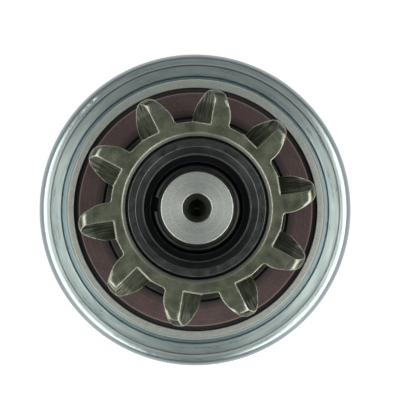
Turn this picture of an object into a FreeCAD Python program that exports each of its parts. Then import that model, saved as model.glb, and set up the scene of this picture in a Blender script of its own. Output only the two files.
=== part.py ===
import FreeCAD, Part
import math
import os

# Sliding drive of a gear-reduction starter, pinion nose up, standing on its rear bearing.
# The axis of every turned piece is Z and the origin is on it, at the rear bearing's rear face.
# All lengths are in millimetres and all angles in degrees.

# Lengths along the axis, from the rear bearing up to the nose
rear_bearing_width = 9.0
rear_bearing_to_gear = 1.5
gear_width = 14.0
crimp_groove_width = 1.5
drum_length = 20.0
drum_web = 3.0
washer_thickness = 1.5
cover_thickness = 1.2
cover_to_bearing = 1.3
front_bearing_width = 9.0
bearing_to_pinion = 11.0
pinion_length = 22.0
tube_recess = 0.5
tube_nose = 2.5
shaft_recess = 2.0
shaft_below_nose = 0.3

# Travel of the sliding pieces
shaft_travel = 18.0
cushion_travel = 2.5

# Clearances
running_gap = 0.1
spline_gap = 0.15
end_gap = 0.1
roller_end_gap = 0.5
roller_gap = 0.05
cutter_overrun = 1.0

# Shaft, from its plain tip outwards to the helical splines on its tail
shaft_tip_radius = 6.0
shaft_tip_chamfer = 0.45
straight_spline_height = 0.7
straight_spline_teeth = 10
body_shoulder = 0.8
helical_spline_rise = 0.5
helical_spline_height = 1.2
helical_spline_teeth = 8
helical_spline_lead = 140.0
spline_tooth_share = 0.5
shaft_bore_wall = 1.8
shaft_bore_depth = 38.0
centre_hole_radius = 2.3
centre_drill_radius = 1.4
centre_drill_depth = 5.0
centre_hole_angle = 60.0
drill_point_angle = 118.0

# Snap ring and stop collar at the nose
snap_wire = 1.6
snap_groove_depth = 0.6
snap_gap_angle = 20.0
snap_gap_direction = 184.0
collar_step = 1.1
collar_mouth_chamfer = 1.2
collar_wall = 1.4
collar_floor = 2.0
collar_below_nose = 0.8
collar_edge = 0.3

# Pinion, an addendum-shifted involute gear with rounded tips, sized from the rim round its collar
pinion_teeth = 10
pinion_shift = 0.45
pinion_rim_wall = 2.25
pinion_addendum = 0.717
pinion_dedendum = 1.0
pinion_root_fillet = 0.6
pinion_tip_land = 0.7
pinion_tip_round = 0.8
pinion_nose_round = 1.5
pinion_rear_chamfer = 0.6
pinion_bore_chamfer = 0.5
pinion_rear_pocket_depth = 5.0
pinion_spline_length = 9.5
pressure_angle = 20.0
flank_arcs = 2
facet_angle = 38.0
facet_below_root = 0.35

# Springs on the shaft
return_spring_wire = 1.5
return_spring_turns = 4
buffer_spring_wire = 1.2
buffer_spring_turns = 3
spring_seat_thickness = 1.0
slider_washer_thickness = 1.5
spring_side_gap = 0.4

# Inner race and spline tube
tube_wall = 1.7
tube_spline_start = 12.0
spline_engagement = 8.0
chamber_shoulder = 3.0
chamber_wall = 2.7
bearing_shoulder = 1.8
race_rise = 0.7
retainer_thickness = 2.0
retainer_rim = 0.7
clip_thickness = 1.0
clip_depth = 0.5
clip_gap_angle = 30.0

# Roller clutch
roller_count = 5
roller_radius = 3.5
roller_edge = 0.4
drum_wall = 2.15
cam_angle = 6.0
cam_run = 0.8
strip_spring_half_width = 1.9
strip_spring_side_gap = 0.4
strip_spring_length = 5.9
strip_spring_height = 11.0
strip_spring_folds = 6
strip_thickness = 0.4

# Clutch gear, driven by the armature's gear
gear_teeth = 31
gear_module = 1.5
gear_addendum = 1.0
gear_dedendum = 1.25
gear_root_fillet = 0.35
gear_tip_land = 1.0
gear_tip_round = 0.15
gear_end_chamfer = 0.6
gear_recess_depth = 5.0
gear_recess_round = 0.6
gear_hub_share = 0.3
gear_rim_share = 0.26

# Bush, washer and cover
bush_wall = 1.5
cover_opening_gap = 2.2
cover_rim_width = 1.8
cover_rim_round = 1.35
cover_rim_height = 0.3
cover_face_width = 1.7
cover_step_depth = 0.25
cover_lip = 0.8

# Ball bearings: the radial section of each, and what both share as parts of that section
front_bearing_section = 8.5
rear_bearing_section = 8.5
front_ball_count = 13
rear_ball_count = 11
ball_share = 0.28
shoulder_share = 0.212
seal_recess_share = 0.115
seal_step_share = 0.06
pitch_offset_share = 0.017
groove_gap = 0.1
ring_chamfer = 0.4
seal_recess_depth = 1.8
seal_thickness = 0.6
seal_below_face = 0.2
seal_bead = 0.75
seal_bead_drop = 0.7
seal_lip_gap = 0.2
cage_wall = 1.6
cage_rim = 0.3

# Levels worked out from the lengths
gear_base = rear_bearing_width + rear_bearing_to_gear
gear_top = gear_base + gear_width
drum_base = gear_top + crimp_groove_width
drum_top = drum_base + drum_length
web_top = drum_base + drum_web
washer_top = drum_top + washer_thickness
cover_top = washer_top + cover_thickness
front_bearing_base = cover_top + cover_to_bearing
front_bearing_top = front_bearing_base + front_bearing_width
pinion_base = front_bearing_top + bearing_to_pinion
nose = pinion_base + pinion_length
tube_top = front_bearing_top + tube_nose
shaft_top = nose - shaft_below_nose
pocket_floor = pinion_base + pinion_rear_pocket_depth
counterbore_floor = pocket_floor + pinion_spline_length
seat_base = pinion_base - cushion_travel - spring_seat_thickness - end_gap
seat_top = seat_base + spring_seat_thickness
collar_base = counterbore_floor + end_gap
collar_top = nose - collar_below_nose
snap_level = collar_base + collar_floor + snap_wire / 2 + end_gap / 2
retainer_base = front_bearing_top - retainer_thickness / 2
retainer_top = retainer_base + retainer_thickness
tube_spline_end = shaft_recess + shaft_travel + spline_engagement
chamber_start = tube_spline_end + chamber_shoulder
slider_base = chamber_start + end_gap
slider_top = slider_base + slider_washer_thickness

# Radii at the nose, each from the piece inside it
straight_spline_radius = shaft_tip_radius + straight_spline_height
snap_ring_radius = shaft_tip_radius - snap_groove_depth + snap_wire / 2
snap_recess_radius = snap_ring_radius + snap_wire / 2 + 2 * running_gap
collar_mouth_radius = snap_recess_radius + collar_step
collar_radius = collar_mouth_radius + collar_mouth_chamfer + collar_wall
counterbore_radius = collar_radius + 2 * running_gap
pinion_root_radius = counterbore_radius + pinion_rim_wall
pinion_module = pinion_root_radius / (pinion_teeth / 2 + pinion_shift - pinion_dedendum)
pinion_tip_radius = pinion_module * (pinion_teeth / 2 + pinion_shift + pinion_addendum)
pinion_pocket_radius = straight_spline_radius + buffer_spring_wire + 3 * spring_side_gap

# Radii of the shaft's tail, the inner race and the bearings, each from the piece inside it
shaft_body_radius = straight_spline_radius + body_shoulder
helical_spline_radius = shaft_body_radius + helical_spline_rise
helical_root_radius = helical_spline_radius - helical_spline_height
shaft_bore_radius = helical_root_radius - shaft_bore_wall
tube_bore_radius = helical_spline_radius + 2 * spline_gap
rear_bore_radius = tube_bore_radius + tube_wall
chamber_radius = shaft_body_radius + return_spring_wire + 2 * spring_side_gap
retainer_seat_radius = chamber_radius + retainer_rim
front_bore_radius = chamber_radius + chamber_wall
race_neck_radius = front_bore_radius + bearing_shoulder
race_radius = race_neck_radius + race_rise
front_outer_radius = front_bore_radius + front_bearing_section
rear_outer_radius = rear_bore_radius + rear_bearing_section

# Radii of the drum and its cover, each from the piece inside it
roller_pitch = race_radius + roller_gap + roller_radius
drum_radius = roller_pitch + roller_radius + drum_wall
cover_wall_radius = drum_radius + running_gap
cover_radius = cover_wall_radius + cover_thickness
bush_bore = rear_bore_radius + running_gap
bush_radius = bush_bore + bush_wall
gear_tip_radius = gear_module * (gear_teeth / 2 + gear_addendum)
gear_root_radius = gear_module * (gear_teeth / 2 - gear_dedendum)


def vector(x, y, z=0.0):
    return FreeCAD.Vector(x, y, z)


def polar(radius, angle, z=0.0):
    """Point at a radius and an angle in radians about the axis."""
    return vector(radius * math.cos(angle), radius * math.sin(angle), z)


def rounded_wire(corners):
    """Closed wire through corners given as a point and the radius that rounds it."""
    ends = []
    edges = []
    for index, (point, radius) in enumerate(corners):
        if not radius:
            ends.append((point, point))
            continue
        before = (corners[index - 1][0] - point).normalize()
        after = (corners[(index + 1) % len(corners)][0] - point).normalize()
        half = before.getAngle(after) / 2
        reach = radius / math.tan(half)
        centre = point + (before + after).normalize() * (radius / math.sin(half))
        start = point + before * reach
        end = point + after * reach
        middle = centre + (point - centre).normalize() * radius
        edges.append(Part.Arc(start, middle, end).toShape())
        ends.append((start, end))
    for index, (start, _) in enumerate(ends):
        last = ends[index - 1][1]
        if (start - last).Length > 1e-7:
            edges.append(Part.LineSegment(last, start).toShape())
    return Part.Wire(Part.__sortEdges__(edges))


def turned(*corners):
    """Solid of revolution from corners of (radius, level) or (radius, level, rounding)."""
    outline = rounded_wire([(vector(c[0], 0, c[1]), c[2] if len(c) > 2 else 0.0) for c in corners])
    return Part.Face(outline).revolve(vector(0, 0), vector(0, 0, 1), 360)


def ring(inner, outer, base, top):
    """Plain ring."""
    return turned((inner, base), (outer, base), (outer, top), (inner, top))


def rod(radius, base, top):
    """Plain round bar on the axis."""
    return Part.makeCylinder(radius, top - base, vector(0, 0, base))


def turn_about_axis(shape, angle):
    """Copy of a shape turned about the axis, in degrees."""
    copy = shape.copy()
    copy.rotate(vector(0, 0), vector(0, 0, 1), angle)
    return copy


def around(shape, count, first=0.0):
    """Copies of a shape spread evenly about the axis."""
    return [turn_about_axis(shape, first + 360.0 * index / count) for index in range(count)]


def involute_outline(teeth, module, shift, tip, root, fillet, land, tip_round):
    """Gear outline whose first tooth gap lies on +X."""
    pitch = teeth * module / 2
    slope = math.radians(pressure_angle)
    base = pitch * math.cos(slope)
    start = max(base, root + fillet)
    tooth_half = (math.pi / 2 + 2 * shift * math.tan(slope)) / teeth

    def half_angle(radius):
        """Half of the tooth's angle at a radius on the involute."""
        at_radius = math.acos(min(1.0, base / radius))
        return tooth_half + math.tan(slope) - slope - math.tan(at_radius) + at_radius

    flank_end = tip - tip_round
    steps = 2 * flank_arcs
    radii = [start + (flank_end - start) * step / steps for step in range(steps + 1)]
    edges = []
    root_start = None
    first_root = None
    for index in range(teeth):
        centre = 2 * math.pi * (index + 0.5) / teeth
        sides = []
        for side in (-1, 1):
            flank = [polar(r, centre + side * half_angle(r)) for r in radii]
            foot_angle = centre + side * half_angle(start)
            foot = polar(root + fillet, foot_angle)
            hub = polar(root + fillet, foot_angle + side * fillet / (root + fillet))
            heel = polar(root, foot_angle + side * fillet / root)
            inward = ((foot - hub).normalize() + (heel - hub).normalize()).normalize()
            fillet_arc = Part.Arc(foot, hub + inward * fillet, heel).toShape()
            land_end = polar(tip, centre + side * land / 2 / tip)
            corner = polar(tip, centre + side * half_angle(tip))
            blend = flank[-1] * 0.25 + corner * 0.5 + land_end * 0.25
            tip_arc = Part.Arc(flank[-1], blend, land_end).toShape()
            pieces = [fillet_arc, tip_arc]
            for step in range(0, steps, 2):
                pieces.append(Part.Arc(*flank[step:step + 3]).toShape())
            if start - (root + fillet) > 1e-6:
                pieces.append(Part.LineSegment(foot, flank[0]).toShape())
            sides.append((pieces, heel, land_end))
        edges += sides[0][0] + sides[1][0]
        edges.append(Part.Arc(sides[0][2], polar(tip, centre), sides[1][2]).toShape())
        if root_start is not None:
            between = polar(root, 2 * math.pi * index / teeth)
            edges.append(Part.Arc(root_start, between, sides[0][1]).toShape())
        else:
            first_root = sides[0][1]
        root_start = sides[1][1]
    edges.append(Part.Arc(root_start, polar(root, 0.0), first_root).toShape())
    return Part.Wire(Part.__sortEdges__(edges))


def spline_outline(minor, major, teeth, gap=0.0):
    """Outline of straight-sided spline teeth, grown by a gap all round."""
    edges = []
    step = 2 * math.pi / teeth
    half = step * spline_tooth_share / 2 + gap / major
    low = minor + gap
    high = major + gap
    for index in range(teeth):
        centre = step * index
        following = centre + step
        edges.append(Part.Arc(polar(high, centre - half), polar(high, centre),
                              polar(high, centre + half)).toShape())
        edges.append(Part.LineSegment(polar(high, centre + half), polar(low, centre + half)).toShape())
        edges.append(Part.Arc(polar(low, centre + half), polar(low, centre + step / 2),
                              polar(low, following - half)).toShape())
        edges.append(Part.LineSegment(polar(low, following - half),
                                      polar(high, following - half)).toShape())
    return Part.Wire(edges)


def straight_spline(minor, major, teeth, base, top, gap=0.0):
    """Splined bar with teeth along the axis."""
    bar = Part.Face(spline_outline(minor, major, teeth, gap)).extrude(vector(0, 0, top - base))
    bar.translate(vector(0, 0, base))
    return bar


def helical_spline(minor, major, teeth, base, top, gap=0.0):
    """Splined bar whose teeth turn once in the lead, counted from level zero."""
    outline = spline_outline(minor, major, teeth, gap)
    sections = []
    count = 2 + int((top - base) * 360 / helical_spline_lead / 12)
    for index in range(count):
        level = base + (top - base) * index / (count - 1)
        section = turn_about_axis(outline, 360 * level / helical_spline_lead)
        section.translate(vector(0, 0, level))
        sections.append(section)
    return Part.makeLoft(sections, True, False)


def coil(mean_radius, wire, turns, base, top):
    """Round-wire spring on the axis, made of half turns, between two levels that it touches."""
    step = (top - base - wire) / (2 * turns)
    bend = math.hypot(mean_radius, step / 2)
    tilt = math.degrees(math.atan2(step / 2, mean_radius))
    faces = []
    for index in range(2 * turns):
        level = base + wire / 2 + step * index
        side = 1 if index % 2 == 0 else -1
        section = Part.makeCircle(wire / 2, vector(bend, 0), vector(0, 1))
        half = section.revolve(vector(0, 0), vector(0, 0, 1), 180)
        half.rotate(vector(0, 0), vector(0, 1), tilt)
        half = turn_about_axis(half, 0 if side > 0 else 180)
        half.translate(vector(0, 0, level + step / 2))
        faces += half.Faces
    for level, x in ((base + wire / 2, mean_radius), (top - wire / 2, mean_radius)):
        end = Part.makeCircle(wire / 2, vector(x, 0, level), vector(0, 1))
        faces.append(Part.Face(Part.Wire(end)))
    shell = Part.makeShell(faces)
    shell.sewShape()
    return Part.makeSolid(Part.Shell(shell.Faces))


def make_pinion():
    """Gear blank with rounded tooth ends, chamfered flanks, and pocket, spline and counterbore."""
    outline = involute_outline(pinion_teeth, pinion_module, pinion_shift, pinion_tip_radius,
                               pinion_root_radius, pinion_root_fillet, pinion_tip_land,
                               pinion_tip_round)
    gear = Part.Face(outline).extrude(vector(0, 0, pinion_length))
    gear.translate(vector(0, 0, pinion_base))
    reach = pinion_tip_radius + pinion_nose_round
    envelope = turned((0, pinion_base),
                      (pinion_tip_radius - pinion_rear_chamfer, pinion_base),
                      (pinion_tip_radius + running_gap, pinion_base + pinion_rear_chamfer),
                      (pinion_tip_radius + running_gap, nose, pinion_nose_round),
                      (0, nose))
    gear = gear.common(envelope)
    width = pinion_tip_radius
    inner = pinion_root_radius - facet_below_root
    facet = Part.makeBox(reach - inner, width, width, vector(inner, 0, 0))
    facet.rotate(vector(0, 0), vector(1, 0, 0), -facet_angle)
    facet.translate(vector(0, 0, nose))
    gap_middle = math.pi * pinion_root_radius / pinion_teeth
    facet = facet.common(Part.makeBox(reach, gap_middle, width, vector(0, 0, nose - gap_middle)))
    half_pitch = 180.0 / pinion_teeth
    for cutter in around(facet, pinion_teeth, half_pitch):
        gear = gear.cut(cutter)
    bore = turned((0, counterbore_floor), (counterbore_radius, counterbore_floor),
                  (counterbore_radius, nose - pinion_bore_chamfer),
                  (counterbore_radius + pinion_bore_chamfer, nose), (0, nose))
    gear = gear.cut(bore)
    gear = gear.cut(rod(pinion_pocket_radius, pinion_base, pocket_floor))
    return gear.cut(straight_spline(shaft_tip_radius, straight_spline_radius, straight_spline_teeth,
                                    pocket_floor, counterbore_floor, spline_gap))


def make_shaft():
    """Sliding shaft: bored tail with helical splines, plain body, straight splines and tip."""
    tail = helical_spline(helical_root_radius, helical_spline_radius, helical_spline_teeth,
                          shaft_recess, chamber_start)
    head = straight_spline(shaft_tip_radius, straight_spline_radius, straight_spline_teeth,
                           seat_base, counterbore_floor - end_gap)
    body = turned((0, chamber_start), (shaft_body_radius, chamber_start),
                  (shaft_body_radius, seat_base), (shaft_tip_radius, seat_base),
                  (shaft_tip_radius, shaft_top - shaft_tip_chamfer),
                  (shaft_tip_radius - shaft_tip_chamfer, shaft_top), (0, shaft_top))
    shaft = body.fuse([tail, head])
    point = shaft_bore_radius / math.tan(math.radians(drill_point_angle / 2))
    bore_end = shaft_recess + shaft_bore_depth
    bore = turned((0, shaft_recess), (shaft_bore_radius, shaft_recess),
                  (shaft_bore_radius, bore_end), (0, bore_end + point))
    cone = (centre_hole_radius - centre_drill_radius) / math.tan(math.radians(centre_hole_angle / 2))
    drill_end = shaft_top - centre_drill_depth
    drill_point = centre_drill_radius / math.tan(math.radians(drill_point_angle / 2))
    centre = turned((0, drill_end - drill_point), (centre_drill_radius, drill_end),
                    (centre_drill_radius, shaft_top - cone), (centre_hole_radius, shaft_top),
                    (0, shaft_top))
    groove = Part.makeTorus(snap_ring_radius, snap_wire / 2, vector(0, 0, snap_level))
    return shaft.cut([bore, centre, groove])


def make_snap_ring():
    """Round wire ring, open over its gap."""
    section = Part.Face(Part.Wire(Part.makeCircle(snap_wire / 2,
                                                  vector(snap_ring_radius, 0, snap_level),
                                                  vector(0, 1, 0))))
    wire_ring = section.revolve(vector(0, 0), vector(0, 0, 1), 360 - snap_gap_angle)
    return turn_about_axis(wire_ring, snap_gap_direction + snap_gap_angle / 2)


def make_stop_collar():
    """Cup that holds the snap ring in its groove and stops the pinion."""
    recess_top = snap_level + snap_wire / 2
    bore = shaft_tip_radius + spline_gap
    mouth_level = collar_top - collar_mouth_chamfer
    floor = collar_base + collar_floor
    return turned((bore, collar_base), (collar_radius - collar_edge, collar_base),
                  (collar_radius, collar_base + collar_edge),
                  (collar_radius, collar_top - collar_edge),
                  (collar_radius - collar_edge, collar_top),
                  (collar_mouth_radius + collar_mouth_chamfer, collar_top),
                  (collar_mouth_radius, mouth_level), (collar_mouth_radius, recess_top),
                  (snap_recess_radius, recess_top), (snap_recess_radius, floor), (bore, floor))


def make_inner_race():
    """Inner race, rear tube and front bearing neck in one piece, with the helical spline bore."""
    race_base = web_top + roller_end_gap
    race_top = drum_top - end_gap
    body = turned((tube_bore_radius, tube_recess), (rear_bore_radius, tube_recess),
                  (rear_bore_radius, race_base), (race_radius, race_base),
                  (race_radius, race_top), (race_neck_radius, race_top),
                  (race_neck_radius, front_bearing_base),
                  (front_bore_radius, front_bearing_base),
                  (front_bore_radius, tube_top - ring_chamfer),
                  (front_bore_radius - ring_chamfer, tube_top), (retainer_seat_radius, tube_top),
                  (retainer_seat_radius, retainer_base), (chamber_radius, retainer_base),
                  (chamber_radius, chamber_start), (tube_bore_radius, chamber_start),
                  (tube_bore_radius, tube_spline_end), (helical_root_radius, tube_spline_end),
                  (helical_root_radius, tube_spline_start),
                  (tube_bore_radius, tube_spline_start))
    teeth = helical_spline(helical_root_radius, helical_spline_radius, helical_spline_teeth,
                           tube_spline_start - cutter_overrun, tube_spline_end + cutter_overrun,
                           spline_gap)
    groove = ring(retainer_seat_radius - clip_depth, retainer_seat_radius + clip_depth,
                  retainer_top, retainer_top + clip_thickness)
    return body.cut([teeth, groove])


def make_retainer_clip():
    """Flat spring clip, open over its gap, in the groove above the retainer."""
    inner = retainer_seat_radius - clip_depth
    outer = retainer_seat_radius + clip_depth
    section = rounded_wire([(vector(r, 0, z), 0.0) for r, z in (
        (inner, retainer_top), (outer, retainer_top), (outer, retainer_top + clip_thickness),
        (inner, retainer_top + clip_thickness))])
    return Part.Face(section).revolve(vector(0, 0), vector(0, 0, 1), 360 - clip_gap_angle)


def make_drum():
    """Outer race of the clutch with the gear cut on its rear, crimp groove and roller pockets."""
    outline = involute_outline(gear_teeth, gear_module, 0.0, gear_tip_radius, gear_root_radius,
                               gear_root_fillet, gear_tip_land, gear_tip_round)
    gear = Part.Face(outline).extrude(vector(0, 0, gear_width))
    gear.translate(vector(0, 0, gear_base))
    outer = gear_tip_radius + running_gap
    envelope = turned((0, gear_base), (gear_tip_radius - gear_end_chamfer, gear_base),
                      (outer, gear_base + gear_end_chamfer), (outer, gear_top - gear_end_chamfer),
                      (gear_tip_radius - gear_end_chamfer, gear_top), (0, gear_top))
    gear = gear.common(envelope)
    body = turned((0, gear_top), (gear_root_radius, gear_top), (gear_root_radius, drum_base),
                  (drum_radius, drum_base), (drum_radius, drum_top), (0, drum_top))
    cavity = rod(race_radius + 3 * running_gap, web_top, drum_top)
    web = gear_root_radius - bush_radius
    hub = bush_radius + gear_hub_share * web
    rim = gear_root_radius - gear_rim_share * web
    recess = turned((hub, gear_base), (rim, gear_base),
                    (rim, gear_base + gear_recess_depth, gear_recess_round),
                    (hub, gear_base + gear_recess_depth, gear_recess_round))
    pocket_height = drum_top - web_top
    reach = roller_radius + running_gap
    seat = Part.makeCylinder(reach, pocket_height, vector(roller_pitch, 0, web_top))
    ramp = Part.makeBox(2 * reach, roller_radius + cam_run, pocket_height, vector(-reach, 0, 0))
    ramp.rotate(vector(0, 0), vector(0, 0, 1), -cam_angle)
    ramp.translate(vector(roller_pitch, 0, web_top))
    half_width = strip_spring_half_width + strip_spring_side_gap
    spring_slot = Part.makeBox(2 * half_width, roller_radius + strip_spring_length, pocket_height,
                               vector(roller_pitch - half_width, 0, web_top))
    pocket = seat.fuse([ramp, spring_slot])
    drum = gear.fuse(body).cut([cavity, rod(bush_radius, gear_base, drum_top), recess])
    return drum.cut(around(pocket, roller_count))


def make_cover():
    """Drawn cover: flat front with a proud rolled rim, side wall, and lip crimped under the drum."""
    opening = race_neck_radius + cover_opening_gap
    inner_rim = cover_radius - cover_rim_width
    step = inner_rim - cover_face_width
    rim_top = cover_top + cover_rim_height
    lip_radius = drum_radius - cover_lip
    lip_base = drum_base - cover_thickness
    return turned((opening, washer_top), (cover_wall_radius, washer_top),
                  (cover_wall_radius, drum_base), (lip_radius, drum_base), (lip_radius, lip_base),
                  (cover_radius, lip_base, cover_thickness * 0.8),
                  (cover_radius, rim_top, cover_rim_round), (inner_rim, rim_top),
                  (inner_rim, cover_top), (step, cover_top),
                  (step - cover_step_depth, cover_top - cover_step_depth),
                  (opening, cover_top - cover_step_depth))


def make_roller(index):
    """Clutch roller with chamfered ends, in its pocket."""
    base = web_top + roller_end_gap
    top = drum_top - roller_end_gap
    roller = turned((0, base), (roller_radius - roller_edge, base),
                    (roller_radius, base + roller_edge), (roller_radius, top - roller_edge),
                    (roller_radius - roller_edge, top), (0, top))
    roller.translate(vector(roller_pitch, 0, 0))
    return turn_about_axis(roller, 360.0 * index / roller_count)


def make_roller_springs():
    """Folded strip springs that press the rollers into the narrow end of their pockets."""
    start = roller_radius + end_gap
    step = (strip_spring_length - end_gap - strip_thickness) / strip_spring_folds
    base = (web_top + drum_top - strip_spring_height) / 2
    left = roller_pitch - strip_spring_half_width
    leaf = Part.makeBox(2 * strip_spring_half_width, strip_thickness, strip_spring_height)
    link = Part.makeBox(strip_thickness, step, strip_spring_height)
    pieces = []
    for fold in range(strip_spring_folds + 1):
        piece = leaf.copy()
        piece.translate(vector(left, start + step * fold, base))
        pieces.append(piece)
    for fold in range(strip_spring_folds):
        piece = link.copy()
        reach = 0 if fold % 2 else 2 * strip_spring_half_width - strip_thickness
        piece.translate(vector(left + reach, start + step * fold, base))
        pieces.append(piece)
    strip = pieces[0].fuse(pieces[1:]).removeSplitter()
    return Part.makeCompound(around(strip, roller_count))


def make_bearing(bore, section, base, width, ball_count):
    """Rings, balls, cage and the two side discs of a deep-groove ball bearing."""
    outside = bore + section
    pitch = (bore + outside) / 2 + pitch_offset_share * section
    ball_radius = ball_share * section
    shoulder = shoulder_share * section
    inner_land = pitch - shoulder
    outer_land = pitch + shoulder
    recess = outer_land + seal_recess_share * section
    step = inner_land - seal_step_share * section
    middle = base + width / 2
    top = base + width
    low = base + seal_recess_depth
    high = top - seal_recess_depth
    outer_ring = turned((recess, base), (outside - ring_chamfer, base),
                        (outside, base + ring_chamfer), (outside, top - ring_chamfer),
                        (outside - ring_chamfer, top), (recess, top), (recess, high),
                        (outer_land, high), (outer_land, low), (recess, low))
    inner_ring = turned((bore, base + ring_chamfer), (bore + ring_chamfer, base), (step, base),
                        (step, low), (inner_land, low), (inner_land, high), (step, high),
                        (step, top), (bore + ring_chamfer, top), (bore, top - ring_chamfer))
    groove = Part.makeTorus(pitch, ball_radius + groove_gap, vector(0, 0, middle))
    ball = Part.makeSphere(ball_radius, vector(pitch, 0, middle))
    inside_cage = pitch - cage_wall / 2
    pocket = Part.makeCylinder(ball_radius + groove_gap, cage_wall + ball_radius,
                               vector(inside_cage - ball_radius / 2, 0, middle), vector(1, 0))
    cage_half = ball_radius + groove_gap + cage_rim
    cage = ring(inside_cage, inside_cage + cage_wall, middle - cage_half, middle + cage_half)
    lip = step + 2 * seal_lip_gap
    disc_edge = outer_land + seal_lip_gap
    bead = recess - running_gap / 2
    discs = []
    for face, inward in ((top, -1), (base, 1)):
        outer_face = face + inward * seal_below_face
        inner_face = outer_face + inward * seal_thickness
        bead_top = outer_face + inward * seal_bead_drop
        bead_end = face + inward * seal_recess_depth
        discs.append(turned((lip, outer_face), (disc_edge, outer_face), (disc_edge, bead_top),
                            (bead, bead_top), (bead, bead_end), (recess - seal_bead, bead_end),
                            (recess - seal_bead, inner_face), (lip, inner_face)))
    return {
        "outer_ring": outer_ring.cut(groove),
        "inner_ring": inner_ring.cut(groove),
        "balls": Part.makeCompound(around(ball, ball_count)),
        "cage": cage.cut(around(pocket, ball_count)),
        "discs": discs,
    }


front_bearing = make_bearing(front_bore_radius, front_bearing_section, front_bearing_base,
                             front_bearing_width, front_ball_count)
rear_bearing = make_bearing(rear_bore_radius, rear_bearing_section, 0.0, rear_bearing_width,
                            rear_ball_count)

nodes = {
    "pinion": make_pinion(),
    "clutch_shaft": make_shaft(),
    "snap_ring": make_snap_ring(),
    "stop_collar": make_stop_collar(),
    "spring_seat": ring(straight_spline_radius + running_gap,
                        pinion_pocket_radius - spring_side_gap, seat_base, seat_top),
    "buffer_spring": coil(straight_spline_radius + buffer_spring_wire / 2 + spring_side_gap,
                          buffer_spring_wire, buffer_spring_turns, seat_top,
                          pocket_floor - end_gap),
    "return_spring_washer": ring(shaft_body_radius + running_gap, chamber_radius - 2 * running_gap,
                                 slider_base, slider_top),
    "return_spring": coil((shaft_body_radius + chamber_radius) / 2, return_spring_wire,
                          return_spring_turns, slider_top + end_gap, retainer_base),
    "spring_retainer": ring(shaft_body_radius + running_gap, retainer_seat_radius - running_gap,
                            retainer_base, retainer_top),
    "retainer_clip": make_retainer_clip(),
    "clutch_inner": make_inner_race(),
    "clutch_gear": make_drum(),
    "clutch_cover": make_cover(),
    "cover_washer": ring(race_neck_radius + 2 * running_gap, drum_radius - running_gap, drum_top,
                         washer_top),
    "gear_bush": ring(bush_bore, bush_radius, gear_base, web_top),
    "roller_springs": make_roller_springs(),
    "front_bearing_outer_ring": front_bearing["outer_ring"],
    "front_bearing_inner_ring": front_bearing["inner_ring"],
    "front_bearing_balls": front_bearing["balls"],
    "front_bearing_cage": front_bearing["cage"],
    "front_bearing_seal_front": front_bearing["discs"][0],
    "front_bearing_seal_rear": front_bearing["discs"][1],
    "rear_bearing_outer_ring": rear_bearing["outer_ring"],
    "rear_bearing_inner_ring": rear_bearing["inner_ring"],
    "rear_bearing_balls": rear_bearing["balls"],
    "rear_bearing_cage": rear_bearing["cage"],
    "rear_bearing_shields": Part.makeCompound(rear_bearing["discs"]),
}
for number in range(roller_count):
    nodes["clutch_roller_%d" % (number + 1)] = make_roller(number)

os.makedirs("parts", exist_ok=True)
for name, shape in nodes.items():
    shape.exportStep("parts/%s.step" % name)
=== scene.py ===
import math
import bpy
from mathutils import Matrix, Vector


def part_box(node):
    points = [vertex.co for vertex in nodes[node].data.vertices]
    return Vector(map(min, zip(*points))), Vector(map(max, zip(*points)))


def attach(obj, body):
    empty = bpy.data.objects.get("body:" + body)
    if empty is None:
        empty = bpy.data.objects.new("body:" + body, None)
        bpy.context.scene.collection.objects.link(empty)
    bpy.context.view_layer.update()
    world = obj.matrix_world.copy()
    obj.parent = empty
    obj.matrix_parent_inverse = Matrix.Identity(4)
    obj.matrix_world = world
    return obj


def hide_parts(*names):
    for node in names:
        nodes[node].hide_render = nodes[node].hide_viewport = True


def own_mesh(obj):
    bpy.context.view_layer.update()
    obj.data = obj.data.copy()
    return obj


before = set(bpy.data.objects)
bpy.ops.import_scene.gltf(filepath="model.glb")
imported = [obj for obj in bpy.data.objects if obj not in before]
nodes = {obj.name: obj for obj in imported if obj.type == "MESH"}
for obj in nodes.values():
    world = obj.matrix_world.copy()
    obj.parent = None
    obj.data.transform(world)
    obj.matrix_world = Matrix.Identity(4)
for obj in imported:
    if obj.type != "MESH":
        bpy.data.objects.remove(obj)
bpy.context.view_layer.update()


# Inner race: one hardened steel turning that carries both bearings on its ends, the rollers
# on its middle and the helical spline bore inside. Its race is ground after hardening.
def add(tree, kind, inputs=None, **settings):
    """New shader node, with settings on it and plain values or sockets on its inputs."""
    node = tree.nodes.new("ShaderNode" + kind)
    for name, value in settings.items():
        setattr(node, name, value)
    for name, value in (inputs or {}).items():
        if isinstance(value, bpy.types.NodeSocket):
            tree.links.new(value, node.inputs[name])
        else:
            node.inputs[name].default_value = value
    return node


def calculate(tree, operation, first, second=0.0, clamp=False):
    """Result of one math step."""
    return add(tree, "Math", {0: first, 1: second}, operation=operation, use_clamp=clamp).outputs[0]


def mix_colours(tree, mask, first, second):
    """First colour where the mask is 0, and second where it is 1."""
    return add(tree, "Mix", {0: mask, 6: first, 7: second}, data_type="RGBA").outputs[2]


def start_group(name, inputs, outputs):
    """Empty node group with named number inputs and its outputs, and its two end nodes."""
    tree = bpy.data.node_groups.new(name, "ShaderNodeTree")
    for title, value in inputs.items():
        socket = tree.interface.new_socket(title, in_out="INPUT", socket_type="NodeSocketFloat")
        socket.default_value = value
    for title, kind in outputs.items():
        tree.interface.new_socket(title, in_out="OUTPUT", socket_type="NodeSocket" + kind)
    return tree, tree.nodes.new("NodeGroupInput").outputs, tree.nodes.new("NodeGroupOutput").inputs


def place_group(tree, group, inputs):
    """Outputs of a group placed in a material with its own values."""
    node = add(tree, "Group", node_tree=group)
    for name, value in inputs.items():
        node.inputs[name].default_value = value
    return node.outputs


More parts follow.
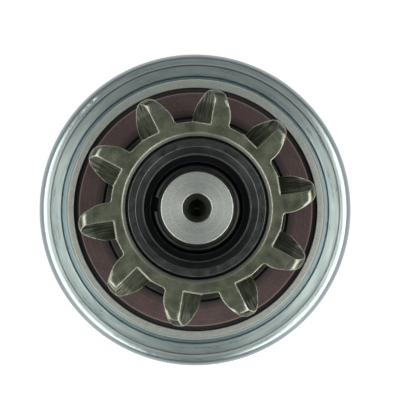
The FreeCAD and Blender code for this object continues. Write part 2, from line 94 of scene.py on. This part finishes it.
def radius_of(tree):
    """Distance from the axis."""
    place = add(tree, "TexCoord").outputs["Object"]
    out = add(tree, "VectorMath", {0: place, 1: (1, 1, 0)}, operation="MULTIPLY").outputs[0]
    return add(tree, "VectorMath", {0: out}, operation="LENGTH").outputs["Value"]


turned_marks, given, made = start_group("Turned marks", {"Spacing": 0.0003, "Break up": 0.5},
                                        {"Height": "Float"})
place = add(turned_marks, "TexCoord").outputs["Object"]
level = add(turned_marks, "SeparateXYZ", {0: place}).outputs["Z"]
lines = add(turned_marks, "CombineXYZ", {
    0: calculate(turned_marks, "DIVIDE", radius_of(turned_marks), given["Spacing"]),
    1: calculate(turned_marks, "DIVIDE", level, given["Spacing"])}).outputs[0]
cut = add(turned_marks, "TexNoise", {"Vector": lines, "Scale": 1.0, "Detail": 3.0}).outputs[0]
patches = add(turned_marks, "TexNoise", {"Vector": place, "Scale": 260.0, "Detail": 2.0}).outputs[0]
fade = calculate(turned_marks, "MULTIPLY", patches, given["Break up"])
turned_marks.links.new(calculate(turned_marks, "MULTIPLY", cut,
                                 calculate(turned_marks, "SUBTRACT", 1.0, fade)), made["Height"])

mottling, given, made = start_group("Mottling", {"Scale": 300.0, "Contrast": 2.0},
                                    {"Mask": "Float"})
place = add(mottling, "TexCoord").outputs["Object"]
cloud = add(mottling, "TexNoise", {"Vector": place, "Scale": given["Scale"], "Detail": 4.0,
                                   "Roughness": 0.62}).outputs[0]
noise_middle = 0.5
spread = calculate(mottling, "MULTIPLY", calculate(mottling, "SUBTRACT", cloud, noise_middle),
                   given["Contrast"])
mottling.links.new(calculate(mottling, "ADD", spread, noise_middle, clamp=True), made["Mask"])

# Brighter edges: partly wear, partly a painted highlight where rounded edges would catch the light.
rubbed_and_highlit_edges, given, made = start_group("Rubbed and highlit edges", {"Width": 0.0002, "Amount": 4.0},
                                     {"Mask": "Float", "Normal": "Vector"})
rounded = add(rubbed_and_highlit_edges, "Bevel", {"Radius": given["Width"]}, samples=6).outputs[0]
flat = add(rubbed_and_highlit_edges, "NewGeometry").outputs["Normal"]
agree = add(rubbed_and_highlit_edges, "VectorMath", {0: rounded, 1: flat},
            operation="DOT_PRODUCT").outputs["Value"]
turn = calculate(rubbed_and_highlit_edges, "MULTIPLY", calculate(rubbed_and_highlit_edges, "SUBTRACT", 1.0, agree),
                 given["Amount"], clamp=True)
place = add(rubbed_and_highlit_edges, "TexCoord").outputs["Object"]
patches = add(rubbed_and_highlit_edges, "TexNoise", {"Vector": place, "Scale": 900.0, "Detail": 2.0}).outputs[0]
patch_spread, patch_least = 1.2, 0.25
kept = calculate(rubbed_and_highlit_edges, "MULTIPLY", patches, patch_spread)
kept = calculate(rubbed_and_highlit_edges, "ADD", kept, patch_least, clamp=True)
rubbed_and_highlit_edges.links.new(calculate(rubbed_and_highlit_edges, "MULTIPLY", turn, kept), made["Mask"])
rubbed_and_highlit_edges.links.new(rounded, made["Normal"])

specks, given, made = start_group("Specks", {"Scale": 2500.0, "Share": 0.2}, {"Mask": "Float"})
place = add(specks, "TexCoord").outputs["Object"]
grain = add(specks, "TexNoise", {"Vector": place, "Scale": given["Scale"],
                                 "Detail": 1.0}).outputs[0]
grain_peak, grain_sharpness = 0.78, 9.0
limit = calculate(specks, "SUBTRACT", grain_peak, given["Share"])
above = calculate(specks, "SUBTRACT", grain, limit)
specks.links.new(calculate(specks, "MULTIPLY", above, grain_sharpness, clamp=True), made["Mask"])


def between(tree, inner, outer, soft=0.0001):
    """1 between two radii, fading out over a soft width beyond them."""
    out = radius_of(tree)
    rise = add(tree, "MapRange", {"Value": out, "From Min": inner - soft, "From Max": inner})
    fall = add(tree, "MapRange", {"Value": out, "From Min": outer, "From Max": outer + soft,
                                  "To Min": 1.0, "To Max": 0.0})
    return calculate(tree, "MULTIPLY", rise.outputs[0], fall.outputs[0])


face_limit = 0.8
speck_depth = 0.6
bump_strength = 0.6
smoother, rougher = 0.06, 0.08


def steel(name, dark, light, edge, roughness, spacing=0.0003, depth=0.000004, mottle=300.0,
          speck=0.12, edge_amount=5.0, width=0.00018, anisotropy=0.0, clouds=None, faces=None, bands=()):
    """Bare or plated metal: mottled colour, cutter marks, specks and brighter edges, partly wear
    and partly a painted highlight. Clouds and faces name other groups for the mottling and for
    the marks on end faces. Each band is an inner radius, an outer radius, and the colour painted
    between them, mostly painted shade and painted highlight."""
    material = bpy.data.materials.new(name)
    material.use_nodes = True
    tree = material.node_tree
    tree.nodes.clear()
    clouds = clouds or (mottling, {"Scale": mottle, "Contrast": 2.2})
    cloud = place_group(tree, *clouds)["Mask"]
    rubbed_and_highlit = place_group(tree, rubbed_and_highlit_edges, {"Width": width, "Amount": edge_amount})
    dots = place_group(tree, specks, {"Scale": 2600.0, "Share": speck})["Mask"]
    height = place_group(tree, turned_marks, {"Spacing": spacing, "Break up": 0.5})["Height"]
    if faces:
        facing = add(tree, "TexCoord").outputs["Normal"]
        facing = add(tree, "SeparateXYZ", {0: facing}).outputs["Z"]
        facing = calculate(tree, "GREATER_THAN", calculate(tree, "ABSOLUTE", facing), face_limit)
        height = add(tree, "Mix", {0: facing, 2: height, 3: place_group(tree, *faces)["Height"]},
                     data_type="FLOAT").outputs[0]
    shade = add(tree, "MapRange", {"Value": height, "From Min": 0.25, "From Max": 0.7,
                                   "To Min": 0.0, "To Max": 0.6}).outputs[0]
    colour = mix_colours(tree, cloud, (*dark, 1), (*light, 1))
    colour = mix_colours(tree, shade, colour, (*light, 1))
    colour = mix_colours(tree, calculate(tree, "MULTIPLY", dots, speck_depth), colour, (*dark, 1))
    # Each band paints its colour between two radii: mostly painted shade and painted highlight, as
    # said at each material.
    for inner, outer, band_colour in bands:
        colour = mix_colours(tree, between(tree, inner, outer), colour, (*band_colour, 1))
    # Edges painted brighter: partly wear, partly painted highlight.
    colour = mix_colours(tree, rubbed_and_highlit["Mask"], colour, (*edge, 1))
    rough = add(tree, "MapRange", {"Value": cloud, "To Min": roughness - smoother,
                                   "To Max": roughness + rougher}).outputs[0]
    bump = add(tree, "Bump", {"Height": height, "Normal": rubbed_and_highlit["Normal"],
                              "Strength": bump_strength, "Distance": depth}).outputs[0]
    tangent = add(tree, "Tangent", direction_type="RADIAL", axis="Z").outputs[0]
    shader = add(tree, "BsdfPrincipled", {
        "Base Color": colour, "Metallic": 1.0, "Roughness": rough, "Normal": bump,
        "Anisotropic": anisotropy, "Anisotropic Rotation": 0.25, "Tangent": tangent})
    add(tree, "OutputMaterial", {"Surface": shader.outputs[0]})
    return material


def finish(material, slot_name, *names):
    """Gives CAD nodes this material in place of their plain one."""
    for name in names:
        for surface in nodes[name].material_slots:
            surface.material = material


race_steel = steel("race_steel", dark=(0.33, 0.33, 0.32), light=(0.55, 0.55, 0.53),
                   edge=(0.75, 0.73, 0.68), roughness=0.32, anisotropy=0.5)
finish(race_steel, "race_steel", "clutch_inner")

# Rear ball bearing: ground rings, polished balls and a pressed cage between two thin steel
# shields. Its bore is a press fit on the inner race's tube, and its outer ring turns freely.
ground_marks, given, made = start_group("Ground marks", {"Count": 150.0}, {"Height": "Float"})
place = add(ground_marks, "TexCoord").outputs["Object"]
parts = add(ground_marks, "SeparateXYZ", {0: place}).outputs
angle = calculate(ground_marks, "ARCTAN2", parts["Y"], parts["X"])
grinding_length = 500.0
lines = add(ground_marks, "CombineXYZ", {
    0: calculate(ground_marks, "MULTIPLY", angle, given["Count"]),
    1: calculate(ground_marks, "MULTIPLY", radius_of(ground_marks), grinding_length)}).outputs[0]
cut = add(ground_marks, "TexNoise", {"Vector": lines, "Scale": 0.6, "Detail": 3.0}).outputs[0]
ground_marks.links.new(cut, made["Height"])

# The dark band from 20.66 to 20.9 mm is painted shade in the gap between the ring's outer chamfer
# and the cover.
bearing_steel = steel("bearing_steel", dark=(0.4, 0.43, 0.38), light=(0.78, 0.81, 0.74),
                      edge=(0.85, 0.86, 0.8), roughness=0.36, depth=0.00002, anisotropy=0.3,
                      speck=0.0, edge_amount=2.0, width=0.0001,
                      clouds=(mottling, {"Scale": 2600.0, "Contrast": 1.1}),
                      faces=(ground_marks, {"Count": 150.0}),
                      bands=((0.02066, 0.0209, (0.3, 0.34, 0.29)),))
ball_steel = steel("ball_steel", dark=(0.6, 0.6, 0.6), light=(0.7, 0.7, 0.7),
                   edge=(0.75, 0.75, 0.75), roughness=0.14, depth=0.0000002, speck=0.02)
cage_steel = steel("cage_steel", dark=(0.32, 0.32, 0.3), light=(0.5, 0.5, 0.48),
                   edge=(0.62, 0.62, 0.6), roughness=0.4)
shield_steel = steel("shield_steel", dark=(0.4, 0.42, 0.41), light=(0.55, 0.58, 0.56),
                     edge=(0.75, 0.75, 0.72), roughness=0.34, spacing=0.0002, anisotropy=0.4)
finish(bearing_steel, "bearing_steel", "rear_bearing_outer_ring", "rear_bearing_inner_ring")
finish(ball_steel, "ball_steel", "rear_bearing_balls")
finish(cage_steel, "cage_steel", "rear_bearing_cage")
finish(shield_steel, "shield_steel", "rear_bearing_shields")

# Clutch drum with the driven gear cut on its rear: a case-hardened steel turning, its teeth
# hobbed and its roller pockets broached. A bronze bush runs it on the inner race's tube.
gear_steel = steel("gear_steel", dark=(0.2, 0.205, 0.19), light=(0.38, 0.39, 0.36),
                   edge=(0.66, 0.65, 0.6), roughness=0.38, spacing=0.0004, depth=0.000006)
bush_bronze = steel("bush_bronze", dark=(0.42, 0.27, 0.12), light=(0.66, 0.46, 0.24),
                    edge=(0.8, 0.62, 0.38), roughness=0.42, speck=0.25)
finish(gear_steel, "gear_steel", "clutch_gear")
finish(bush_bronze, "bush_bronze", "gear_bush")

# Rollers and their springs: five hardened steel rollers wedge between the drum's ramps and the
# race. A folded strip of spring steel pushes each one into the narrow end of its pocket.
spring_steel = steel("spring_steel", dark=(0.2, 0.205, 0.21), light=(0.42, 0.43, 0.43),
                     edge=(0.6, 0.6, 0.58), roughness=0.3, spacing=0.0002, speck=0.05)
roller_count = 5
finish(ball_steel, "ball_steel",
       *["clutch_roller_%d" % number for number in range(1, roller_count + 1)])
finish(spring_steel, "spring_steel", "roller_springs")

# Cover: drawn sheet steel with a rolled rim, zinc plated with a clear blue passivation, and
# crimped round the drum over a thrust washer, so that both turn with the drum.
streaks, given, made = start_group("Streaks round the axis", {"Length": 4.0, "Width": 1800.0},
                                   {"Mask": "Float"})
place = add(streaks, "TexCoord").outputs["Object"]
heading = add(streaks, "VectorMath", {0: place, 1: (1, 1, 0)}, operation="MULTIPLY").outputs[0]
heading = add(streaks, "VectorMath", {0: heading}, operation="NORMALIZE").outputs[0]
heading = add(streaks, "VectorMath", {0: heading, 3: given["Length"]}, operation="SCALE").outputs[0]
parts = add(streaks, "SeparateXYZ", {0: heading}).outputs
level = add(streaks, "SeparateXYZ", {0: place}).outputs["Z"]
deep = calculate(streaks, "ADD", radius_of(streaks), level)
deep = calculate(streaks, "MULTIPLY", deep, given["Width"])
lines = add(streaks, "CombineXYZ", {0: parts["X"], 1: parts["Y"], 2: deep}).outputs[0]
cloud = add(streaks, "TexNoise", {"Vector": lines, "Scale": 1.0, "Detail": 4.0,
                                  "Roughness": 0.6}).outputs[0]
streak_contrast = 1.9
spread = calculate(streaks, "MULTIPLY", calculate(streaks, "SUBTRACT", cloud, noise_middle),
                   streak_contrast)
streaks.links.new(calculate(streaks, "ADD", spread, noise_middle, clamp=True), made["Mask"])

# Bands, inwards out: a darker blue ring at the step by the bearing is painted shade, a thin dark
# line in the rim's crease is painted shade, a thin near-white line beside it is a painted
# highlight, and the darker outside of the rolled rim is a painted dark reflection.
zinc_plate = steel("zinc_plate", dark=(0.53, 0.64, 0.65), light=(0.82, 0.93, 0.87),
                   edge=(0.95, 1.0, 0.98), roughness=0.3, spacing=0.00022, depth=0.000008,
                   speck=0.0, edge_amount=3.0, width=0.00022, anisotropy=0.78,
                   clouds=(streaks, {"Length": 4.0, "Width": 1800.0}),
                   bands=((0.0213, 0.02185, (0.42, 0.56, 0.63)),
                          (0.02361, 0.02371, (0.24, 0.3, 0.33)),
                          (0.02386, 0.02396, (0.95, 1.0, 0.98)),
                          (0.02478, 0.03, (0.33, 0.375, 0.385))))
finish(zinc_plate, "zinc_plate", "clutch_cover")
finish(race_steel, "race_steel", "cover_washer")

# Front ball bearing: as the rear one, but larger and closed by two moulded rubber seals on
# steel discs. Their beads snap into grooves in the outer ring, and their lips rub the inner.
seal_step_highlight_inner, seal_step_highlight_outer = 0.01875, 0.0188
seal_groove_shade_radius = 0.0190
seal_shadow_inner, seal_shadow_outer, seal_shadow_soft = 0.01, 0.0151, 0.0012
beyond_part = 0.03
# Near-black steel for the front bearing's inner ring: painted shade where the pinion overhangs it.
shaded_ring_steel = steel("shaded_ring_steel", dark=(0.035, 0.033, 0.03), light=(0.09, 0.088, 0.08),
                    edge=(0.2, 0.2, 0.18), roughness=0.45, edge_amount=2.0)
finish(bearing_steel, "bearing_steel", "front_bearing_outer_ring")
finish(shaded_ring_steel, "bearing_steel", "front_bearing_inner_ring")
finish(ball_steel, "ball_steel", "front_bearing_balls")
finish(cage_steel, "cage_steel", "front_bearing_cage")
seal_rubber = bpy.data.materials.new("seal_rubber")
seal_rubber.use_nodes = True
seal_tree = seal_rubber.node_tree
seal_tree.nodes.clear()
seal_cloud = place_group(seal_tree, mottling, {"Scale": 420.0, "Contrast": 2.4})["Mask"]
seal_dots = place_group(seal_tree, specks, {"Scale": 3200.0, "Share": 0.14})["Mask"]
seal_rings = place_group(seal_tree, turned_marks, {"Spacing": 0.0003, "Break up": 0.3})["Height"]
seal_rubbed_and_highlit = place_group(seal_tree, rubbed_and_highlit_edges, {"Width": 0.00016, "Amount": 2.5})
seal_colour = mix_colours(seal_tree, seal_cloud, (0.07, 0.042, 0.038, 1), (0.118, 0.073, 0.066, 1))
seal_colour = mix_colours(seal_tree, seal_dots, seal_colour, (0.17, 0.12, 0.115, 1))
# Lighter rubber edges: painted highlight.
seal_colour = mix_colours(seal_tree, seal_rubbed_and_highlit["Mask"], seal_colour, (0.2, 0.14, 0.13, 1))
seal_lines = add(seal_tree, "MapRange", {"Value": seal_rings, "From Min": 0.3, "From Max": 0.6,
                                         "To Min": 0.55, "To Max": 0.0}).outputs[0]
seal_colour = mix_colours(seal_tree, seal_lines, seal_colour, (0.035, 0.02, 0.02, 1))
# A thin lighter ring at the edge of the seal's raised face: painted highlight.
seal_step_highlight = between(seal_tree, seal_step_highlight_inner, seal_step_highlight_outer)
seal_colour = mix_colours(seal_tree, seal_step_highlight, seal_colour, (0.2, 0.15, 0.13, 1))
# Near black from the bead outwards: painted shade in the groove between the seal and the outer
# ring.
seal_groove_shade = between(seal_tree, seal_groove_shade_radius, beyond_part)
seal_colour = mix_colours(seal_tree, seal_groove_shade, seal_colour, (0.01, 0.009, 0.009, 1))
seal_shadow = between(seal_tree, seal_shadow_inner, seal_shadow_outer, soft=seal_shadow_soft)
seal_colour = mix_colours(seal_tree, seal_shadow, seal_colour, (0.016, 0.012, 0.012, 1))
seal_shape = add(seal_tree, "Bump", {"Height": seal_rings, "Normal": seal_rubbed_and_highlit["Normal"],
                                     "Strength": 0.5, "Distance": 0.00002}).outputs[0]
seal_rough = add(seal_tree, "MapRange", {"Value": seal_cloud, "To Min": 0.5,
                                         "To Max": 0.68}).outputs[0]
seal_shader = add(seal_tree, "BsdfPrincipled", {
    "Base Color": seal_colour, "Roughness": seal_rough, "Normal": seal_shape,
    "Specular IOR Level": 0.45})
add(seal_tree, "OutputMaterial", {"Surface": seal_shader.outputs[0]})
finish(seal_rubber, "seal_rubber", "front_bearing_seal_front", "front_bearing_seal_rear")


# Return spring: drawn wire wound with closed ends ground flat, between a washer that slides
# with the shaft and a retaining ring that a flat clip holds in the inner race's mouth.
def wound_spring(name, mean_radius, wire, base, top, turns, closed, material):
    """Helical spring with closed, ground ends between two levels, as one tube."""
    per_turn, around_wire = 40, 12
    ground_share, closed_pitch = 0.45, 0.98
    steps = int(turns * per_turn)
    active = turns - 2 * closed
    rise = (top - base - wire * (2 * ground_share + 2 * closed * closed_pitch)) / active
    vertices, faces = [], []
    centre = base + wire * ground_share
    for step in range(steps + 1):
        turn = turns * step / steps
        into = min(max(turn - closed, 0.0), active)
        height = centre + rise * into + wire * closed_pitch * (turn - into)
        angle = 2 * math.pi * turn
        for corner in range(around_wire):
            bend = 2 * math.pi * corner / around_wire
            radius = mean_radius + wire / 2 * math.cos(bend)
            level = min(max(height + wire / 2 * math.sin(bend), base), top)
            vertices.append((radius * math.cos(angle), radius * math.sin(angle), level))
    for step in range(steps):
        for corner in range(around_wire):
            following = (corner + 1) % around_wire
            low, high = step * around_wire, (step + 1) * around_wire
            faces.append((low + corner, high + corner, high + following, low + following))
    faces.append(tuple(range(around_wire)))
    faces.append(tuple(steps * around_wire + corner for corner in reversed(range(around_wire))))
    mesh = bpy.data.meshes.new(name)
    mesh.from_pydata(vertices, [], faces)
    mesh.validate()
    for face in mesh.polygons:
        face.use_smooth = True
    mesh.materials.append(material)
    spring = bpy.data.objects.new(name, mesh)
    bpy.context.scene.collection.objects.link(spring)
    return spring


return_low, return_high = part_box("return_spring")
return_wire = 0.0015
return_turns, return_closed = 6.0, 0.9
return_coil = wound_spring("return_coil", return_high.x - return_wire / 2, return_wire,
                           return_low.z, return_high.z, return_turns, return_closed,
                           spring_steel)
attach(return_coil, "inner_race")
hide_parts("return_spring")
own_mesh(return_coil)
finish(race_steel, "race_steel", "return_spring_washer", "spring_retainer")
finish(spring_steel, "spring_steel", "retainer_clip")

# Shaft: an alloy steel forging, turned, with straight splines and a centre hole at its nose,
# rolled helical splines at its tail and a bored rear end. It slides through the inner race.
# Bands: the black centre of the centre hole and the dark grey of its cone are painted shade, and
# everything beyond the end face's rim is painted dark as shade.
shaft_steel = steel("shaft_steel", dark=(0.36, 0.385, 0.345), light=(0.8, 0.83, 0.76),
                    edge=(0.92, 0.9, 0.84), roughness=0.32, spacing=0.00036, depth=0.00001,
                    clouds=(mottling, {"Scale": 4800.0, "Contrast": 1.5}), speck=0.0,
                    width=0.00016, anisotropy=0.4,
                    bands=((0.0, 0.00135, (0.035, 0.036, 0.03)),
                           (0.0014, 0.00222, (0.22, 0.24, 0.19)),
                           (0.00565, 0.1, (0.07, 0.075, 0.068))))
finish(shaft_steel, "shaft_steel", "clutch_shaft")

# Buffer spring and its seat: a short spring of drawn wire behind the pinion takes up the blow
# when its teeth meet the ring gear end on. It stands on a flat ring on the shaft's shoulder.
buffer_low, buffer_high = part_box("buffer_spring")
buffer_wire = 0.0012
buffer_turns, buffer_closed = 3.6, 0.8
buffer_coil = wound_spring("buffer_coil", buffer_high.x - buffer_wire / 2, buffer_wire,
                           buffer_low.z, buffer_high.z, buffer_turns, buffer_closed,
                           spring_steel)
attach(buffer_coil, "shaft")
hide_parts("buffer_spring")
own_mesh(buffer_coil)
finish(shaft_steel, "shaft_steel", "spring_seat")

# Pinion: ten teeth cold-formed on an alloy steel blank and case hardened to a dark olive grey.
# One flank of each tooth is milled away at the nose, so that it slips into the ring gear.
slope_least, slope_most, tip_slope = 0.2, 0.93, 0.3
bore_chamfer_radius = 0.01152
tip_inner, tip_soft, tip_shine = 0.0166, 0.0005, 0.7
tip_rounding = 0.0009
grain_depth = 0.6
polished_roughness = 0.22
stroke_scale = (380, 380, 5200)
pinion_steel = bpy.data.materials.new("pinion_steel")
pinion_steel.use_nodes = True
pinion_tree = pinion_steel.node_tree
pinion_tree.nodes.clear()
pinion_cloud = place_group(pinion_tree, mottling, {"Scale": 480.0, "Contrast": 2.0})["Mask"]
pinion_dots = place_group(pinion_tree, mottling, {"Scale": 4500.0, "Contrast": 2.6})["Mask"]
pinion_rubbed_and_highlit = place_group(pinion_tree, rubbed_and_highlit_edges, {"Width": 0.00034, "Amount": 5.0})
pinion_rings = place_group(pinion_tree, turned_marks,
                           {"Spacing": 0.0005, "Break up": 0.8})["Height"]
pinion_place = add(pinion_tree, "TexCoord").outputs
pinion_facing = add(pinion_tree, "SeparateXYZ", {0: pinion_place["Normal"]}).outputs["Z"]
pinion_slope = calculate(pinion_tree, "MULTIPLY",
                         calculate(pinion_tree, "GREATER_THAN", pinion_facing, slope_least),
                         calculate(pinion_tree, "LESS_THAN", pinion_facing, slope_most))
mill_strokes = add(pinion_tree, "VectorMath", {0: pinion_place["Object"], 1: stroke_scale},
                   operation="MULTIPLY").outputs[0]
mill_lines = add(pinion_tree, "TexNoise", {"Vector": mill_strokes, "Scale": 1.0,
                                           "Detail": 2.0}).outputs[0]
mill_lines = add(pinion_tree, "MapRange", {"Value": mill_lines, "From Min": 0.3,
                                           "From Max": 0.66, "To Min": 0.4}).outputs[0]
pinion_colour = mix_colours(pinion_tree, pinion_cloud, (0.1, 0.112, 0.076, 1),
                            (0.235, 0.256, 0.182, 1))
pinion_grain = calculate(pinion_tree, "MULTIPLY", pinion_dots, grain_depth)
pinion_colour = mix_colours(pinion_tree, pinion_grain, pinion_colour, (0.05, 0.056, 0.038, 1))
pinion_milled = calculate(pinion_tree, "MULTIPLY", pinion_slope, mill_lines, clamp=True)
pinion_colour = mix_colours(pinion_tree, pinion_milled, pinion_colour, (0.034, 0.038, 0.027, 1))
pinion_tip = between(pinion_tree, tip_inner, beyond_part, soft=tip_soft)
pinion_tip = calculate(pinion_tree, "MULTIPLY", pinion_tip,
                       calculate(pinion_tree, "GREATER_THAN", pinion_facing, tip_slope))
pinion_tip = calculate(pinion_tree, "MULTIPLY", pinion_tip,
                       calculate(pinion_tree, "SUBTRACT", 1.0, pinion_milled))
pinion_shine = calculate(pinion_tree, "MULTIPLY", pinion_tip, tip_shine)
pinion_colour = mix_colours(pinion_tree, pinion_shine, pinion_colour, (0.4, 0.42, 0.33, 1))
# The bore chamfer is painted lighter: painted highlight along the bore's edge.
pinion_chamfer_highlight = between(pinion_tree, 0.0, bore_chamfer_radius)
pinion_colour = mix_colours(pinion_tree, pinion_chamfer_highlight, pinion_colour, (0.3, 0.315, 0.27, 1))
# Near-white tooth edges: partly rubbed bare steel, partly a painted highlight.
pinion_colour = mix_colours(pinion_tree, pinion_rubbed_and_highlit["Mask"], pinion_colour,
                            (0.95, 0.91, 0.76, 1))
pinion_height = add(pinion_tree, "Mix", {0: pinion_slope, 2: pinion_rings, 3: mill_lines},
                    data_type="FLOAT").outputs[0]
pinion_round = add(pinion_tree, "Bevel", {"Radius": tip_rounding}, samples=8).outputs[0]
pinion_round = add(pinion_tree, "Mix", {0: pinion_tip, 4: pinion_rubbed_and_highlit["Normal"], 5: pinion_round},
                   data_type="VECTOR").outputs[1]
pinion_shape = add(pinion_tree, "Bump", {"Height": pinion_height, "Normal": pinion_round,
                                         "Strength": 0.8, "Distance": 0.00001}).outputs[0]
pinion_rough = add(pinion_tree, "MapRange", {"Value": pinion_cloud, "To Min": 0.34,
                                             "To Max": 0.5}).outputs[0]
pinion_polished = calculate(pinion_tree, "MAXIMUM", pinion_rubbed_and_highlit["Mask"], pinion_tip)
pinion_rough = add(pinion_tree, "Mix", {0: pinion_polished, 2: pinion_rough,
                                        3: polished_roughness}, data_type="FLOAT").outputs[0]
pinion_shader = add(pinion_tree, "BsdfPrincipled", {
    "Base Color": pinion_colour, "Metallic": 1.0, "Roughness": pinion_rough,
    "Normal": pinion_shape})
add(pinion_tree, "OutputMaterial", {"Surface": pinion_shader.outputs[0]})
finish(pinion_steel, "pinion_steel", "pinion")

# Stop collar and snap ring: a blackened steel cup in the pinion's front counterbore, kept on
# the shaft by a ring of round spring wire in a groove, which the cup's wall holds closed.
# The near-black inside 8.3 mm is painted shade in the collar's bore round the snap ring.
black_steel = steel("black_steel", dark=(0.03, 0.036, 0.034), light=(0.08, 0.09, 0.085),
                    edge=(0.8, 0.82, 0.8), roughness=0.38, spacing=0.0003, mottle=700.0,
                    speck=0.2, edge_amount=3.5, width=0.00012,
                    bands=((0.0, 0.0083, (0.012, 0.013, 0.014)),
                           (0.0084, 0.0094, (0.13, 0.14, 0.138)),
                           (0.00833, 0.0084, (0.5, 0.52, 0.5)),
                           (0.01062, 0.0112, (0.1, 0.11, 0.106))))
finish(black_steel, "black_steel", "stop_collar")
blued_wire = steel("blued_wire", dark=(0.02, 0.021, 0.02), light=(0.06, 0.062, 0.058),
                   edge=(0.3, 0.3, 0.28), roughness=0.34, spacing=0.0002, speck=0.1)
finish(blued_wire, "spring_steel", "snap_ring")

# Studio: a wide pale floor that the drive stands on, a large softbox on each side, set towards
# the lower edge of the view, and a grey room. The camera looks down on the nose from 0.7 m.
view_turn = math.radians(9.4)
view_right = Vector((math.cos(view_turn), math.sin(view_turn), 0))
view_up = Vector((-math.sin(view_turn), math.cos(view_turn), 0))

floor_half, floor_level = 4.0, -0.0002
floor_mesh = bpy.data.meshes.new("floor")
floor_mesh.from_pydata([(x * floor_half, y * floor_half, floor_level)
                        for x, y in ((-1, -1), (1, -1), (1, 1), (-1, 1))], [], [(0, 1, 2, 3)])
floor = bpy.data.objects.new("floor", floor_mesh)
bpy.context.scene.collection.objects.link(floor)
floor_paper = bpy.data.materials.new("floor_paper")
floor_paper.use_nodes = True
floor_tree = floor_paper.node_tree
floor_tree.nodes.clear()
ray = add(floor_tree, "LightPath").outputs
seen = calculate(floor_tree, "ADD", ray["Is Camera Ray"], ray["Is Transmission Ray"])
seen = calculate(floor_tree, "ADD", seen, ray["Is Glossy Ray"], clamp=True)
glow_strength = 0.78
paper_glow = add(floor_tree, "Emission", {
    "Color": (1, 1, 1, 1), "Strength": calculate(floor_tree, "MULTIPLY", seen, glow_strength)})
paper_shade = add(floor_tree, "BsdfDiffuse", {"Color": (0.4, 0.4, 0.4, 1)})
paper = add(floor_tree, "AddShader", {0: paper_glow.outputs[0], 1: paper_shade.outputs[0]})
add(floor_tree, "OutputMaterial", {"Surface": paper.outputs[0]})
floor_mesh.materials.append(floor_paper)

room = bpy.data.worlds.new("room")
room.use_nodes = True
room_tree = room.node_tree
room_tree.nodes.clear()
ray = add(room_tree, "LightPath").outputs
seen = calculate(room_tree, "ADD", ray["Is Camera Ray"], ray["Is Transmission Ray"])
seen = calculate(room_tree, "ADD", seen, ray["Is Glossy Ray"], clamp=True)
direction = add(room_tree, "SeparateXYZ", {0: add(room_tree, "TexCoord").outputs["Generated"]})
low = add(room_tree, "MapRange", {"Value": direction.outputs["Z"], "From Min": 0.02,
                                  "From Max": 0.14, "To Min": 1.0, "To Max": 0.0}).outputs[0]
room_colour = mix_colours(room_tree, calculate(room_tree, "MULTIPLY", seen, low),
                          (0.2, 0.207, 0.215, 1), (0.95, 0.96, 0.98, 1))
background = add(room_tree, "Background", {"Color": room_colour, "Strength": 1.0})
add(room_tree, "OutputWorld", {"Surface": background.outputs[0]})
bpy.context.scene.world = room

softbox_distance, softbox_height = 0.8, 0.06
softbox_angle = math.radians(40)
softbox_drop = 0.28
for side, power in (("left", 4.9), ("right", 5.4)):
    sign = 1 if side == "right" else -1
    box = bpy.data.lights.new("softbox_" + side, "AREA")
    box.shape = "RECTANGLE"
    box.size, box.size_y = 0.6, 1.15
    box.energy = power
    lamp = bpy.data.objects.new("softbox_" + side, box)
    away = (view_right * sign * math.sin(softbox_angle) - view_up * softbox_drop
            + Vector((0, 0, math.cos(softbox_angle))))
    back = away.normalized()
    lamp_side = view_up.cross(back).normalized()
    lamp_up = back.cross(lamp_side)
    lamp.matrix_world = Matrix((lamp_side, lamp_up, back)).transposed().to_4x4()
    lamp.matrix_world.translation = away * softbox_distance + Vector((0, 0, softbox_height))
    bpy.context.scene.collection.objects.link(lamp)

camera_data = bpy.data.cameras.new("camera")
camera_data.sensor_width = 36.0
camera_data.lens = 408.6
camera = bpy.data.objects.new("camera", camera_data)
bpy.context.scene.collection.objects.link(camera)
camera_place = view_right * -0.00515 + view_up * -0.00515 + Vector((0, 0, 0.792))
camera_aim = view_right * 0.00081 + view_up * 0.00163 + Vector((0, 0, 0.047))
camera_back = (camera_place - camera_aim).normalized()
camera_right = view_up.cross(camera_back).normalized()
camera_up = camera_back.cross(camera_right)
camera.matrix_world = Matrix((camera_right, camera_up, camera_back)).transposed().to_4x4()
camera.matrix_world.translation = camera_place
bpy.context.scene.camera = camera
bpy.context.scene.view_settings.view_transform = "Standard"
